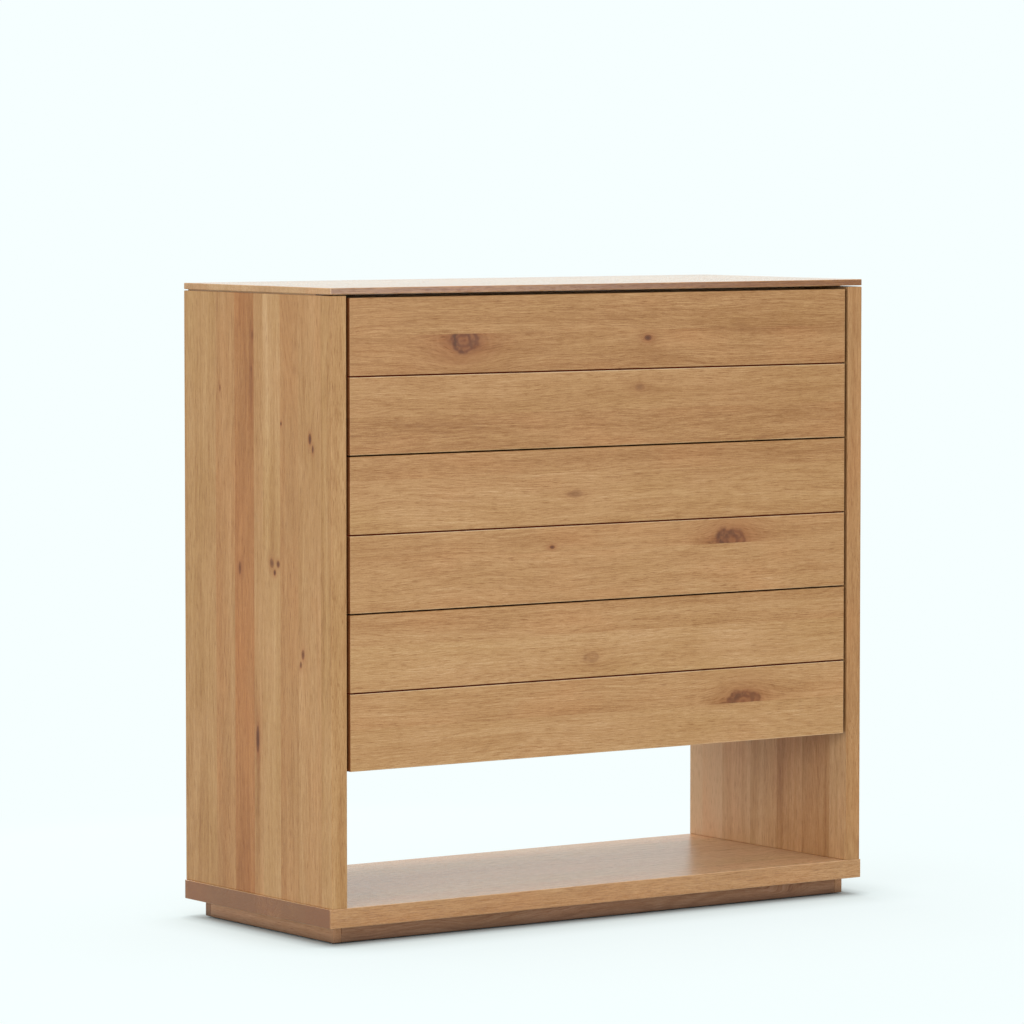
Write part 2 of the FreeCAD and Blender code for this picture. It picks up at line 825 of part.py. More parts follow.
def build_latches():
    """The plunger's tip waits just short of where the drawer front stops when it is pressed in."""
    housing = board("latch_blank", "latch_wide", "latch_long", "latch_high")
    place(housing, WALL, f"{FRONT_BACK} + latch_set_back", "latch_lift - latch_high / 2")
    axis_x = inner_half - D.plunger_from_wall
    latch_front = front_back + D.latch_set_back
    bore_long = D.plunger_long - D.plunger_out + D.plunger_press + D.bore_spare
    mouth = Vector(-axis_x, latch_front - D.bore_spare, D.latch_lift)
    bore_radius = D.plunger_radius + D.plunger_slip
    bore = drillings("LatchBore", bore_radius, bore_long + D.bore_spare, [(mouth, Y * -1)])
    latches = pair("latch_pair", cut("latch_left", housing, bore))
    keep(copies("latch_housings", latches, [(Vector(0, 0, z), Z) for z in level_z]))
    plunger = turned(
        "plunger_master",
        [
            ("0", "0"),
            ("plunger_radius - edge_ease", "0"),
            ("plunger_radius", "0 - edge_ease"),
            ("plunger_radius", "edge_ease - plunger_long"),
            ("plunger_radius - edge_ease", "0 - plunger_long"),
            ("0", "0 - plunger_long"),
        ],
    )
    tip = latch_front - D.plunger_out
    spots = [(Vector(s * axis_x, tip, D.latch_lift), Y * -1) for s in SIDES]
    on_levels("latch_plungers", copies("plunger_set", plunger, spots))


# ---------------------------------------------------------------------------------------------------------
# Drawers
# ---------------------------------------------------------------------------------------------------------

BOX_BACK = f"({FRONT_BACK} + box_long)"


def build_drawer_fronts():
    """A flush front whose middle groove makes one drawer look like two."""
    width = f"({INNER_WIDE} - 2 * side_reveal)"
    body = board("front_blank", width, "front_thick", "front_high")
    place(body, f"0 - {width} / 2", "0 - depth / 2", "0")
    line = rectangle(
        body,
        "FrontGroove",
        "YZ_Plane",
        "0 - edge_ease",
        "front_high / 2 - groove_wide / 2",
        "groove_deep",
        "front_high / 2 + groove_wide / 2",
    )
    doc.recompute()
    whole = body.Shape.Volume
    groove = body.newObject("PartDesign::Pocket", "FrontGroovePocket")
    groove.Profile = line
    groove.Type = "ThroughAll"
    groove.Midplane = True
    doc.recompute()
    cut_away = whole - body.Shape.Volume
    expected = float(body.Shape.BoundBox.XLength) * D.groove_wide * D.groove_deep
    if abs(cut_away - expected) > 0.02 * expected:
        raise RuntimeError(f"the groove takes {cut_away:.0f} mm3 from the drawer front, not {expected:.0f}")
    on_levels("drawer_front", cut("front_master", body, pilots("FrontPilots", D.front_screw, front_spots)))


def bottom_slot(label):
    """The tool that houses the drawer bottom in all four boards of the box."""
    return block(
        label,
        f"{BOX_INSIDE} + 2 * bottom_housing",
        "box_long - 2 * box_thick + 2 * bottom_housing",
        "bottom_thick + 2 * slip",
        f"0 - {BOX_INSIDE} / 2 - bottom_housing",
        f"{FRONT_BACK} + box_thick - bottom_housing",
        f"{BOTTOM_Z} - slip",
    )


def build_drawer_boxes():
    """Two sides with a front and a back between them, a bottom housed in all four, and the screws."""
    slot = bottom_slot("box_bottom_slot")
    rail_pilots = pilots("BoxRailPilots", D.box_screw, inner_web_spots)
    for name, x in (("left", f"0 - {BOX_WIDE} / 2"), ("right", f"{BOX_WIDE} / 2 - box_thick")):
        side = board(f"box_{name}_blank", "box_thick", "box_long", "box_high")
        place(side, x, FRONT_BACK, "box_lift")
        on_levels(f"drawer_{name}_side", cut(f"box_{name}", side, slot, rail_pilots))
    front_pilots = pilots("BoxFrontPilots", D.front_screw, front_spots)
    for name, y, tools in (
        ("box_front", FRONT_BACK, [slot, front_pilots]),
        ("back", f"{BOX_BACK} - box_thick", [slot]),
    ):
        end = board(f"box_{name}_blank", BOX_INSIDE, "box_thick", "box_high", ease=False)
        place(end, f"0 - {BOX_INSIDE} / 2", y, "box_lift")
        on_levels(f"drawer_{name}", cut(f"box_{name}_cut", end, *tools))
    bottom = board(
        "box_bottom_blank",
        f"{BOX_INSIDE} + 2 * (bottom_housing - bottom_play)",
        "box_long + 2 * (bottom_housing - box_thick - bottom_play)",
        "bottom_thick",
        ease=False,
    )
    place(
        bottom,
        f"bottom_play - {BOX_INSIDE} / 2 - bottom_housing",
        f"{FRONT_BACK} + box_thick - bottom_housing + bottom_play",
        BOTTOM_Z,
    )
    on_levels("drawer_bottom", bottom)
    rail_screws = copies("rail_screw_set", box_screw, inner_web_spots)
    front_screws = copies("front_screw_set", front_screw, front_spots)
    on_levels("drawer_screws", group("drawer_screw_set", [rail_screws, front_screws]))


# ---------------------------------------------------------------------------------------------------------
# Build, check and write
# ---------------------------------------------------------------------------------------------------------


def check():
    """Stops at the first object that failed or piece that isn't whole."""
    doc.recompute()
    for thing in doc.Objects:
        if any(word in thing.State for word in ("Invalid", "Error")):
            raise RuntimeError(f"{thing.Label} did not compute: {thing.State}")
    for piece in pieces:
        shape = piece.Shape
        if shape.isNull() or not shape.isValid() or not shape.Solids:
            raise RuntimeError(f"{piece.Label} is not a valid solid")


def write():
    """Writes each piece to a file under its own name, in place of what was there."""
    os.makedirs("parts", exist_ok=True)
    for old in os.listdir("parts"):
        os.remove(os.path.join("parts", old))
    for piece in pieces:
        piece.Shape.exportStep(os.path.join("parts", piece.Label + ".step"))
    print(len(pieces), "pieces,", sum(len(p.Shape.Solids) for p in pieces), "solids")


build_top_panel()
build_side_panels()
build_carcass_floor()
build_top_rails()
build_back_panel()
build_base_panel()
build_plinth()
build_floor_glides()
build_carcass_fasteners()
build_runners()
build_ball_cages()
build_latches()
build_drawer_fronts()
build_drawer_boxes()
check()
write()
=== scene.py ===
"""Looks for the tall chest of drawers: knotty oak with a matt oil finish, and the hardware inside."""

import math

import bpy
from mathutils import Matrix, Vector


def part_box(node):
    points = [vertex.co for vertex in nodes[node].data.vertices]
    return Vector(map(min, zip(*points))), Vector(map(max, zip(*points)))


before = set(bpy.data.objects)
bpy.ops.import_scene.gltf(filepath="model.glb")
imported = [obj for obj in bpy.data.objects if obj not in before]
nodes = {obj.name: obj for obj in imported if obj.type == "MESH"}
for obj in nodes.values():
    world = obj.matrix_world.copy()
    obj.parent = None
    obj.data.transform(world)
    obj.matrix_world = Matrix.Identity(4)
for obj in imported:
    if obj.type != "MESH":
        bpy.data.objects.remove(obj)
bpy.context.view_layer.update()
LEVELS = ("lower", "middle", "upper")
MM = 0.001

# ---------------------------------------------------------------------------------------------------------
# Places that the frame gives, in millimetres
# ---------------------------------------------------------------------------------------------------------


def box_mm(name):
    """A CAD node's lowest and highest corners in millimetres."""
    low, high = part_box(name)
    return low / MM, high / MM


side_low, side_high = box_mm("left_side_panel")


# ---------------------------------------------------------------------------------------------------------
# A small writer of shader nodes: sockets are passed about as values
# ---------------------------------------------------------------------------------------------------------


class Graph:
    """The node tree of a material or world, with a method for each kind of node that the looks use."""

    def __init__(self, owner):
        owner.use_nodes = True
        self.owner = owner
        self.tree = owner.node_tree

    @property
    def shader(self):
        """The shader that a new material starts with."""
        return self.tree.nodes["Principled BSDF"]

    def feed(self, socket, value):
        """Links a socket, or sets a plain value on it."""
        if isinstance(value, bpy.types.NodeSocket):
            self.tree.links.new(value, socket)
        else:
            socket.default_value = value

    def add(self, kind, **settings):
        node = self.tree.nodes.new(kind)
        for key, value in settings.items():
            setattr(node, key, value)
        return node

    def math(self, operation, first, second=0.0, clamp=False):
        node = self.add("ShaderNodeMath", operation=operation, use_clamp=clamp)
        self.feed(node.inputs[0], first)
        self.feed(node.inputs[1], second)
        return node.outputs[0]

    def plus(self, *terms):
        total = terms[0]
        for term in terms[1:]:
            total = self.math("ADD", total, term)
        return total

    def times(self, *terms):
        product = terms[0]
        for term in terms[1:]:
            product = self.math("MULTIPLY", product, term)
        return product

    def minus(self, first, second):
        return self.math("SUBTRACT", first, second)

    def vector(self, x, y, z):
        node = self.add("ShaderNodeCombineXYZ")
        for socket, value in zip(node.inputs, (x, y, z)):
            self.feed(socket, value)
        return node.outputs[0]

    def parts(self, vector):
        node = self.add("ShaderNodeSeparateXYZ")
        self.feed(node.inputs[0], vector)
        return node.outputs

    def remap(self, value, from_low, from_high, to_low=0.0, to_high=1.0, smooth=False):
        """A value carried from one range to another, held inside it."""
        node = self.add("ShaderNodeMapRange", clamp=True)
        node.interpolation_type = "SMOOTHSTEP" if smooth else "LINEAR"
        for socket, number in zip(node.inputs, (value, from_low, from_high, to_low, to_high)):
            self.feed(socket, number)
        return node.outputs[0]

    def noise(self, vector, detail, scale=1.0, rough=0.5):
        node = self.add("ShaderNodeTexNoise", noise_dimensions="3D")
        for name, value in (("Vector", vector), ("Scale", scale), ("Detail", detail), ("Roughness", rough)):
            self.feed(node.inputs[name], value)
        return node.outputs[0]

    def mix(self, share, first, second, blend="MIX"):
        """Two colours mixed."""
        node = self.add("ShaderNodeMix", data_type="RGBA", blend_type=blend, clamp_factor=True)
        self.feed(node.inputs[0], share)
        self.feed(node.inputs[6], first)
        self.feed(node.inputs[7], second)
        return node.outputs[2]

    def ramp(self, value, stops, constant=False):
        """A colour ramp; each stop is (place, colour or grey)."""
        node = self.add("ShaderNodeValToRGB")
        ramp = node.color_ramp
        ramp.interpolation = "CONSTANT" if constant else "LINEAR"
        while len(ramp.elements) < len(stops):
            ramp.elements.new(1.0)
        while len(ramp.elements) > len(stops):
            ramp.elements.remove(ramp.elements[-1])
        for element, (place, colour) in zip(ramp.elements, stops):
            element.position = place
            element.color = colour if isinstance(colour, tuple) else (colour, colour, colour, 1.0)
        self.feed(node.inputs[0], value)
        return node.outputs[0]

    def bump(self, height, distance):
        node = self.add("ShaderNodeBump")
        self.feed(node.inputs["Height"], height)
        node.inputs["Distance"].default_value = distance
        node.inputs["Strength"].default_value = 1.0
        return node.outputs[0]


def rgb(red, green, blue):
    """A display colour, 0 to 255, as the linear colour that a shader takes."""

    def linear(value):
        share = value / 255.0
        return share / 12.92 if share <= 0.04045 else ((share + 0.055) / 1.055) ** 2.4

    return (linear(red), linear(green), linear(blue), 1.0)


# ---------------------------------------------------------------------------------------------------------
# Oak
# ---------------------------------------------------------------------------------------------------------

# Base tones from the darkest line of the grain to the palest
OAK_TONES = (
    (0.0, rgb(128, 80, 38)),
    (0.3, rgb(157, 109, 60)),
    (0.5, rgb(175, 130, 81)),
    (0.7, rgb(189, 147, 99)),
    (1.0, rgb(210, 172, 130)),
)
RED_TINT = rgb(255, 228, 205)
GREEN_TINT = rgb(248, 250, 232)
PORE_TINT = rgb(196, 170, 142)
HALO_TINT = rgb(214, 172, 134)
# The next colour darkens the plinth's front and back boards, partly their own colour and partly painted shade
# under the base's overhang
DARK_STAIN_AND_SHADE = rgb(234, 227, 250)
SOFT_STAIN = rgb(255, 243, 252)
KNOT_HEART = (rgb(112, 58, 22), rgb(136, 80, 38))
KNOT_RIM = rgb(84, 42, 10)

# How far each mark moves the tone, from 0 in the darkest oak to 1 in the palest
RING_TONE = 0.03
BAND_TONE = 0.34
THIN_BAND_TONE = 0.5
CLOUD_TONE = 0.2
KNOT_RING_TONE = 0.07
STREAK_TONE = -0.42
# The next tone lifts the painted highlight along the edges that catch the light
HIGHLIGHT_TONE = 0.35

# Painted shade: the plinth is darkened towards the floor, where contact shade falls: how far up in
# millimetres, and to what
FOOT_SHADE_HEIGHT = 25.0
FOOT_SHADE_TINT = rgb(138, 132, 128)

# Painted shade: a groove's walls are darkened, and a board's sawn edges, which face the gaps, a little.
# Widths of a groove and of its painted highlight are in millimetres.
GROOVE_SHADE_TINT = rgb(170, 84, 48)
EDGE_SHADE_TINT = rgb(200, 166, 138)
GROOVE = 2.5
HIGHLIGHT = 1.3
UNOILED_ROUGHNESS = 0.6

# How far apart in the noise two boards lie, and how far along and into the tree one stave from the next
BOARD_APART = 1310.0
STAVE_ALONG = 6100.0
STAVE_DEEP = 900.0

# Fibres: scale along and across the grain for each millimetre, detail, roughness and strength
FIBRE_LAYERS = (
    (0.045, 1.05, 3.0, 0.7, 0.95),
    (0.011, 0.9, 2.0, 0.5, 0.65),
    (0.3, 1.3, 1.0, 0.5, 0.4),
)
# How deep the fibres are in metres
FIBRE_BUMP = 0.00008

# How far the grain lines wander sideways in millimetres, and how close the annual rings lie
WANDER = 26.0
RINGS = 90.0

# Knots: how many millimetres to each side a pin knot may be, how ragged the outline is, how close the rings
# lie, and how far the grain bends round one
PIN_KNOT = 8.0
RAGGEDNESS = 0.9
RING_PITCH = 15.0
GRAIN_BEND = 1.1


def board_coordinates(graph, grain, across, seed):
    """The object's place in millimetres as (along the grain, across the staves, into the board)."""
    place = graph.add("ShaderNodeTexCoord").outputs["Object"]
    scaled = graph.add("ShaderNodeVectorMath", operation="SCALE")
    graph.feed(scaled.inputs[0], place)
    scaled.inputs["Scale"].default_value = 1.0 / MM
    axes = dict(zip("xyz", graph.parts(scaled.outputs[0])))
    deep = next(axis for axis in "xyz" if axis not in (grain, across))
    return axes[grain], axes[across], graph.plus(axes[deep], BOARD_APART * seed)


def stave_values(graph, over, staves, seed):
    """Tone, redness and place in the tree, each constant over one stave and different in the next."""
    low = staves[0][0] - 1.0
    wide = staves[-1][0] - low + 1.0
    share = graph.remap(over, low, low + wide)
    columns = zip(*[
        (0.5 + tone, 0.5 + red, (number * 0.37 + seed * 0.13) % 1.0)
        for number, (_, tone, red) in enumerate(staves)
    ])
    places = [0.0] + [(start - low) / wide for start, _, _ in staves[1:]]
    return [graph.ramp(share, list(zip(places, column)), constant=True) for column in columns]


def stave_edges(over_mm, staves):
    """The edges of the stave that a place falls in, with room beyond the outer two."""
    starts = [start for start, _, _ in staves]
    low = max([start for start in starts[1:] if start <= over_mm], default=-1e4)
    high = min([start for start in starts[1:] if start > over_mm], default=1e4)
    return low, high


def inside(graph, value, low, high):
    """1 between two limits and 0 outside them."""
    above = graph.math("GREATER_THAN", value, low)
    return graph.times(above, graph.math("LESS_THAN", value, high))


class Knots:
    """Masks and grain lines for the knots of one board: the saw cuts each off at its stave's edge."""

    def __init__(self, graph, along, over, deep, knots, staves):
        self.core, self.rim, self.halo, self.rings, self.bend = 0.0, 0.0, 0.0, 0.0, 0.0
        if not knots:
            return
        place = graph.vector(along, over, deep)
        ragged = graph.minus(graph.noise(place, scale=0.04, detail=2.0), 0.5)
        blotches = graph.remap(graph.noise(place, scale=0.11, detail=2.0), 0.4, 0.58, 0.15, 1.0)
        for knot_along, knot_over, half_long, half_wide, strength in knots:
            du = graph.math("DIVIDE", graph.minus(along, knot_along), half_long)
            dv = graph.math("DIVIDE", graph.minus(over, knot_over), half_wide)
            square = graph.plus(graph.times(du, du), graph.times(dv, dv))
            reach = graph.plus(graph.math("SQRT", square), graph.times(ragged, RAGGEDNESS))
            here = inside(graph, over, *stave_edges(knot_over, staves))
            present = graph.times(here, strength)
            spread = graph.plus(graph.times(du, du, 0.34), graph.times(dv, dv, 0.4))
            glow = graph.math("EXPONENT", graph.times(spread, -1.0))
            core = graph.times(graph.remap(reach, 0.75, 1.1, 1.0, 0.0, smooth=True), present)
            # A pin knot is dark right through, a larger one in blotches, most of them at one end
            pin = half_wide < PIN_KNOT
            darkest, dark_width = (0.2, 0.8) if pin else (0.55, 0.6)
            edge = graph.math("ABSOLUTE", graph.minus(reach, darkest))
            rim = graph.times(graph.remap(edge, 0.0, dark_width, 1.0, 0.0, smooth=True), present)
            if not pin:
                rim = graph.times(rim, blotches, graph.remap(du, -0.5, 1.0, 1.0, 0.4))
            ring = graph.times(graph.math("SINE", graph.times(reach, RING_PITCH)), glow, present)
            self.core = graph.math("MAXIMUM", self.core, core)
            self.rim = graph.math("MAXIMUM", self.rim, rim)
            self.halo = graph.math("MAXIMUM", self.halo, graph.times(glow, present))
            self.rings = graph.plus(self.rings, ring)
            bend = graph.times(glow, dv, here, half_wide * GRAIN_BEND * strength)
            self.bend = graph.plus(self.bend, bend)


def streak_mask(graph, along, over, streaks):
    """Soft dark flames along the grain: the same four sizes as a knot, and a strength."""
    mask = 0.0
    for streak_along, streak_over, half_long, half_wide, strength in streaks:
        du = graph.math("DIVIDE", graph.minus(along, streak_along), half_long)
        dv = graph.math("DIVIDE", graph.minus(over, streak_over), half_wide)
        square = graph.plus(graph.times(du, du), graph.times(dv, dv))
        flame = graph.times(graph.math("EXPONENT", graph.times(square, -1.0)), strength)
        mask = graph.math("MAXIMUM", mask, flame)
    return mask


def face_normal(graph, axis):
    """How far the surface faces along an axis, from -1 to 1."""
    return graph.parts(graph.add("ShaderNodeNewGeometry").outputs["Normal"])["xyz".index(axis)]


def end_mask(graph, grain):
    """1 on the faces that cut the grain across."""
    return graph.remap(graph.math("ABSOLUTE", face_normal(graph, grain)), 0.6, 0.9)


# One board without joined staves
PLAIN = ((0.0, 0.0, 0.0),)


def oak(
    name,
    grain,
    across,
    seed,
    staves=PLAIN,
    knots=(),
    streaks=(),
    shade=0.0,
    end_shade=0.06,
    painted_face_light=None,
    groove=None,
    highlights=(),
    figure=1.0,
    bands=0.3,
    fibres=0.92,
    gloss=0.40,
    sheen=0.3,
    stain_and_shade=None,
):
    """Oiled oak with its grain along one axis and its staves side by side along another.

    staves: (where it starts, tone, redness) across the board; knots and streaks: (along, across, half length,
    half width, strength), in the chest's own millimetres; shade: how much darker than the usual tone, and
    end_shade on the end grain; painted_face_light: (axis, sign, by how much) painted light on one face, or
    painted shade where the amount is below nought; groove: its lower and upper edge across the grain, with
    painted shade in it; lips: the same two edges of each strip with a painted highlight; figure: how far the
    lines wander;
    bands and fibres: how strongly they show; gloss: the roughness before the fibres; sheen: the shader's
    specular level; stain: a colour over the wood, with painted shade that darkens the foot."""
    graph = Graph(bpy.data.materials.new(name))
    along, over, deep = board_coordinates(graph, grain, across, seed)
    tone, red, tree = stave_values(graph, over, staves, seed)
    marks = Knots(graph, along, over, deep, knots, staves)
    length = graph.plus(along, graph.times(tree, STAVE_ALONG))
    depth = graph.plus(deep, graph.times(tree, STAVE_DEEP))
    bent = graph.minus(over, marks.bend)

    def grain_noise(along_scale, over_scale, line, detail, rough=0.5):
        place = graph.vector(
            graph.times(length, along_scale), graph.times(line, over_scale), graph.times(depth, over_scale)
        )
        return graph.minus(graph.noise(place, detail=detail, rough=rough), 0.5)

    # The lines wander slowly along the board, and the annual rings meet the face in broad flames
    wander = grain_noise(0.003, 0.012, bent, 2.0)
    line = graph.plus(bent, graph.times(wander, WANDER * figure))
    ring_depth = grain_noise(0.0019, 0.013, line, 1.0)
    rings = graph.math("SINE", graph.times(ring_depth, RINGS))
    band = grain_noise(0.0012, 0.05, line, 3.0)
    cloud = grain_noise(0.005, 0.014, bent, 2.0)

    # Long and short fibres, narrow bands that run a whole board, and the open pores, the darkest of them
    fibre = graph.plus(*[
        graph.times(grain_noise(along_scale, over_scale, line, detail, rough), strength)
        for along_scale, over_scale, detail, rough, strength in FIBRE_LAYERS
    ])
    thin_band = grain_noise(0.0016, 0.09, line, 3.0, rough=0.6)
    pore = graph.remap(grain_noise(0.05, 1.3, line, 1.0), 0.07, 0.22)

    value = graph.plus(
        tone,
        graph.times(rings, RING_TONE * figure),
        graph.times(band, BAND_TONE),
        graph.times(thin_band, THIN_BAND_TONE * bands),
        graph.times(cloud, CLOUD_TONE),
        graph.times(fibre, fibres),
        graph.times(marks.rings, KNOT_RING_TONE),
        graph.times(streak_mask(graph, along, over, streaks), STREAK_TONE),
        graph.times(end_mask(graph, grain), -end_shade),
        -shade,
    )
    # Painted light on one face, or painted shade where the amount is below nought
    if painted_face_light:
        axis, sign, amount = painted_face_light
        towards = graph.times(face_normal(graph, axis), sign)
        value = graph.plus(value, graph.remap(towards, 0.6, 0.9, 0.0, amount))
    # Painted highlights along the edges that catch the light
    for highlight_low, highlight_high in highlights:
        value = graph.plus(value, graph.times(inside(graph, over, highlight_low, highlight_high), HIGHLIGHT_TONE))
    colour = graph.ramp(value, OAK_TONES)
    redness = graph.plus(graph.minus(red, 0.5), graph.times(cloud, 0.5))
    colour = graph.mix(graph.remap(redness, 0.0, 0.4), colour, RED_TINT, blend="MULTIPLY")
    colour = graph.mix(graph.remap(redness, 0.0, -0.4), colour, GREEN_TINT, blend="MULTIPLY")
    colour = graph.mix(graph.times(pore, 0.75), colour, PORE_TINT, blend="MULTIPLY")
    if knots:
        streaky = graph.math("MULTIPLY", marks.halo, graph.plus(0.8, graph.times(fibre, 2.0)), clamp=True)
        heart = graph.mix(graph.plus(0.5, graph.times(marks.rings, 0.5)), *KNOT_HEART)
        colour = graph.mix(streaky, colour, HALO_TINT, blend="MULTIPLY")
        colour = graph.mix(graph.times(marks.core, 0.85), colour, heart)
        colour = graph.mix(graph.times(marks.rim, 0.95), colour, KNOT_RIM)

    if stain_and_shade:
        colour = graph.mix(1.0, colour, stain_and_shade, blend="MULTIPLY")
        # Painted shade: darker towards the floor, for the contact shade at the plinth's foot
        colour = graph.mix(graph.remap(over, FOOT_SHADE_HEIGHT, 0.0), colour, FOOT_SHADE_TINT, blend="MULTIPLY")

    height = graph.plus(fibre, graph.times(pore, -0.5), graph.times(marks.core, -0.4))
    roughness = graph.plus(gloss, graph.times(fibre, 0.2), graph.times(pore, 0.12))
    if groove:
        # Painted shade: the groove is darkened and the sawn edges a little, for the shade in the groove and
        # the gaps; neither is oiled, so they don't shine
        cut = inside(graph, over, *groove)
        colour = graph.mix(cut, colour, GROOVE_SHADE_TINT, blend="MULTIPLY")
        facing = graph.math("ABSOLUTE", face_normal(graph, "y"))
        sawn = graph.remap(facing, 0.3, 0.6, 1.0, 0.0)
        edge = graph.math("SUBTRACT", sawn, cut, clamp=True)
        colour = graph.mix(edge, colour, EDGE_SHADE_TINT, blend="MULTIPLY")
        unoiled = graph.math("MAXIMUM", sawn, cut)
        roughness = graph.plus(roughness, graph.times(unoiled, UNOILED_ROUGHNESS))
    graph.feed(graph.shader.inputs["Base Color"], colour)
    graph.feed(graph.shader.inputs["Roughness"], roughness)
    graph.feed(graph.shader.inputs["Normal"], graph.bump(height, FIBRE_BUMP))
    graph.shader.inputs["Specular IOR Level"].default_value = sheen
    return graph.owner


# ---------------------------------------------------------------------------------------------------------
# The other finishes
# ---------------------------------------------------------------------------------------------------------


BIRCH = (rgb(236, 218, 186), rgb(214, 188, 148))

# How deep the marks on metal and the skin of plastic are in metres, and the plating's spangles per millimetre
METAL_BUMP = 0.00002
PLASTIC_BUMP = 0.00003
SPANGLES = 0.28


def object_mm(graph, stretch=(1.0, 1.0, 1.0)):
    """The object's own coordinates in millimetres, stretched along chosen axes."""
    node = graph.add("ShaderNodeVectorMath", operation="MULTIPLY")
    graph.feed(node.inputs[0], graph.add("ShaderNodeTexCoord").outputs["Object"])
    node.inputs[1].default_value = tuple(share / MM for share in stretch)
    return node.outputs[0]


def plain_wood(name, stretch, pale, dark, pale_pores=0.2):
    """Close-grained wood without staves: birch, beech, or a veneer."""
    graph = Graph(bpy.data.materials.new(name))
    fibre = graph.noise(object_mm(graph, stretch), scale=1.0, detail=4.0, rough=0.6)
    cloud = graph.noise(object_mm(graph, tuple(share * 0.12 for share in stretch)), detail=2.0)
    ray = graph.remap(
        graph.noise(object_mm(graph, tuple(share * 1.9 for share in stretch)), detail=1.0), 0.6, 0.75
    )
    value = graph.plus(graph.times(graph.minus(fibre, 0.5), 1.2), graph.minus(cloud, 0.5), 0.5)
    colour = graph.mix(value, dark, pale)
    colour = graph.mix(graph.times(ray, pale_pores), colour, dark, blend="MULTIPLY")
    graph.feed(graph.shader.inputs["Base Color"], colour)
    graph.feed(graph.shader.inputs["Roughness"], graph.plus(0.46, graph.times(fibre, 0.16)))
    height = graph.minus(fibre, graph.times(ray, 0.4))
    graph.feed(graph.shader.inputs["Normal"], graph.bump(height, FIBRE_BUMP))
    return graph.owner


def metal(name, bright, dull, rough, brushed=(0.02, 0.9, 0.9), spangle=0.0):
    """Plated or polished steel: fine marks along its length, with faint patches in the plating."""
    graph = Graph(bpy.data.materials.new(name))
    marks = graph.noise(object_mm(graph, brushed), scale=1.4, detail=4.0, rough=0.65)
    patch = graph.noise(object_mm(graph), scale=0.11, detail=3.0)
    cell = graph.add("ShaderNodeTexVoronoi", feature="F1")
    graph.feed(cell.inputs["Vector"], object_mm(graph))
    cell.inputs["Scale"].default_value = SPANGLES
    grain = graph.parts(cell.outputs["Color"])[0]
    value = graph.plus(
        graph.times(marks, 0.5), graph.times(patch, 0.5), graph.times(graph.minus(grain, 0.5), spangle)
    )
    graph.feed(graph.shader.inputs["Base Color"], graph.mix(graph.remap(value, 0.3, 0.7), dull, bright))
    graph.shader.inputs["Metallic"].default_value = 1.0
    roughness = graph.plus(rough, graph.times(graph.minus(value, 0.5), 0.25))
    graph.feed(graph.shader.inputs["Roughness"], roughness)
    graph.feed(graph.shader.inputs["Normal"], graph.bump(marks, METAL_BUMP))
    return graph.owner


def plastic(name, colour, worn, rough=0.5):
    """Moulded plastic with a fine spark-eroded skin."""
    graph = Graph(bpy.data.materials.new(name))
    skin = graph.noise(object_mm(graph), scale=1.8, detail=3.0)
    smear = graph.noise(object_mm(graph), scale=0.06, detail=2.0)
    graph.feed(graph.shader.inputs["Base Color"], graph.mix(graph.remap(smear, 0.3, 0.7), colour, worn))
    graph.feed(graph.shader.inputs["Roughness"], graph.plus(rough - 0.06, graph.times(skin, 0.12)))
    graph.feed(graph.shader.inputs["Normal"], graph.bump(skin, PLASTIC_BUMP))
    return graph.owner


# ---------------------------------------------------------------------------------------------------------
# Which finish each node takes
# ---------------------------------------------------------------------------------------------------------


def finish(name, material):
    """Gives a CAD node its material in place of any other."""
    slots = nodes[name].data.materials
    slots.clear()
    slots.append(material)


# Where each stave of a side panel starts, from the front to the back: (place, tone, redness)
LEFT_STAVES = (
    (-212.5, 0.02, -0.15),
    (-184.0, 0.05, 0.02),
    (-121.0, -0.01, 0.09),
    (-69.0, 0.13, -0.08),
    (-19.0, 0.05, 0.03),
    (7.0, -0.10, 0.26),
    (63.0, 0.0, 0.08),
    (118.0, 0.05, -0.10),
)
RIGHT_STAVES = (
    (-212.5, -0.02, 0.06),
    (-168.0, -0.22, 0.10),
    (-96.0, -0.16, 0.08),
    (-28.0, -0.02, 0.04),
    (44.0, 0.06, 0.08),
    (122.0, 0.34, 0.04),
    (176.0, 0.40, 0.0),
)

# Knots and streaks of the side panels: (height, place from front to back, half length, half width, strength)
LEFT_KNOTS = (
    (933.0, 11.0, 9.0, 2.5, 0.5),
    (880.0, 14.0, 7.0, 2.5, 0.4),
    (847.0, 106.0, 7.0, 3.0, 0.45),
    (798.0, -71.0, 3.5, 2.5, 0.9),
    (777.0, -153.0, 9.0, 4.5, 0.95),
    (762.0, -161.0, 7.0, 3.0, 0.8),
    (567.0, 49.0, 11.0, 5.0, 0.6),
    (580.0, -44.0, 9.0, 7.0, 0.6),
    (580.0, -62.0, 6.0, 5.0, 0.75),
    (566.0, -52.0, 5.0, 4.0, 0.95),
    (444.0, -132.0, 9.0, 4.5, 0.7),
    (428.0, -126.0, 6.0, 3.5, 0.6),
    (301.0, -2.0, 26.0, 5.0, 0.9),
)
RIGHT_KNOTS = (
    (640.0, 60.0, 14.0, 9.0, 0.8),
    (412.0, -120.0, 9.0, 5.0, 0.7),
    (850.0, -60.0, 22.0, 9.0, 0.7),
)
LEFT_STREAKS = (
    (200.0, -4.0, 130.0, 6.0, 0.6),
    (370.0, 3.0, 60.0, 7.0, 0.4),
    (860.0, 14.0, 100.0, 7.0, 0.5),
    (620.0, -50.0, 60.0, 12.0, 0.3),
    (480.0, -130.0, 50.0, 9.0, 0.25),
    (110.0, 40.0, 120.0, 22.0, 0.35),
    (90.0, 150.0, 140.0, 55.0, 0.16),
)
RIGHT_STREAKS = (
    (180.0, -36.0, 90.0, 8.0, 0.5),
    (250.0, 30.0, 90.0, 9.0, 0.3),
)

